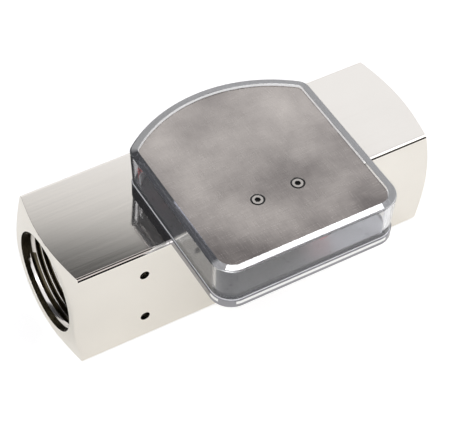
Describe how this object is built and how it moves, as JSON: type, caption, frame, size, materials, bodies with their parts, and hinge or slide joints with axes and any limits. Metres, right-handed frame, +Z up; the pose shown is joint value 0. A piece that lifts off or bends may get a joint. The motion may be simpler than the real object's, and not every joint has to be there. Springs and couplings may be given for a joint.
{
  "type": "variable area flow meter",
  "caption": "Inline flow meter: square metal body with threaded ports, spring-loaded float on a rod, and a clear-walled case with a magnetically driven pointer over a curved scale.",
  "frame": {"origin": "centre of the body's bottom face", "axes": "+X along the flow from inlet to outlet, +Y towards the reading window, +Z up"},
  "size_m": [0.162, 0.0894, 0.0712],
  "materials": {
    "nickel_body": "polished nickel plate",
    "stainless": "turned stainless steel",
    "spring_steel": "bright spring wire",
    "float_brass": "turned brass",
    "magnet": "ground magnet",
    "rubber_seal": "matt black",
    "base_metal": "bright rolled sheet",
    "clear_plastic": "clear moulded plastic",
    "cover_metal": "orbital-ground sheet",
    "screw_steel": "bright steel",
    "bearing_brass": "turned brass",
    "scale_white": "matt white with black marks",
    "pointer_red": "gloss red"
  },
  "bodies": {
    "housing": {"meter_body": "nickel_body", "inlet_guide": "stainless", "outlet_guide": "stainless", "inlet_circlip": "spring_steel", "outlet_circlip": "spring_steel", "measuring_sleeve": "float_brass", "sleeve_seals": "rubber_seal", "guide_rod": "stainless", "return_spring": "spring_steel", "indicator_base": "base_metal", "base_screws": "screw_steel", "window_seal": "rubber_seal", "window_ring": "clear_plastic", "cover_plate": "cover_metal", "cover_screws": "screw_steel", "plate_posts": "stainless", "bearing_bridge": "stainless", "lower_bush": "bearing_brass", "upper_bush": "bearing_brass", "scale_strip": "scale_white"},
    "float": {"float_piston": "float_brass", "float_magnet": "magnet", "float_cap": "float_brass"},
    "needle": {"pointer": "pointer_red", "pointer_hub": "bearing_brass", "pointer_shaft": "stainless", "pointer_magnet": "magnet", "magnet_clip": "stainless", "counterweight": "bearing_brass"}
  },
  "joints": [
    {"name": "float_slide", "type": "slide", "parent": "housing", "child": "float", "axis": [1, 0, 0], "range_m": [0, 0.04453], "stiffness_N_per_m": 60, "springref_m": -0.01, "deforming": ["return_spring"]},
    {"name": "pointer_swing", "type": "hinge", "parent": "housing", "child": "needle", "pos_m": [0, -0.037, 0.0611], "axis": [0, 0, -1], "range_deg": [0, 74]}
  ],
  "couplings": [
    {"joint": "pointer_swing", "follows": "float_slide", "rad_per_m": 29.001}
  ]
}
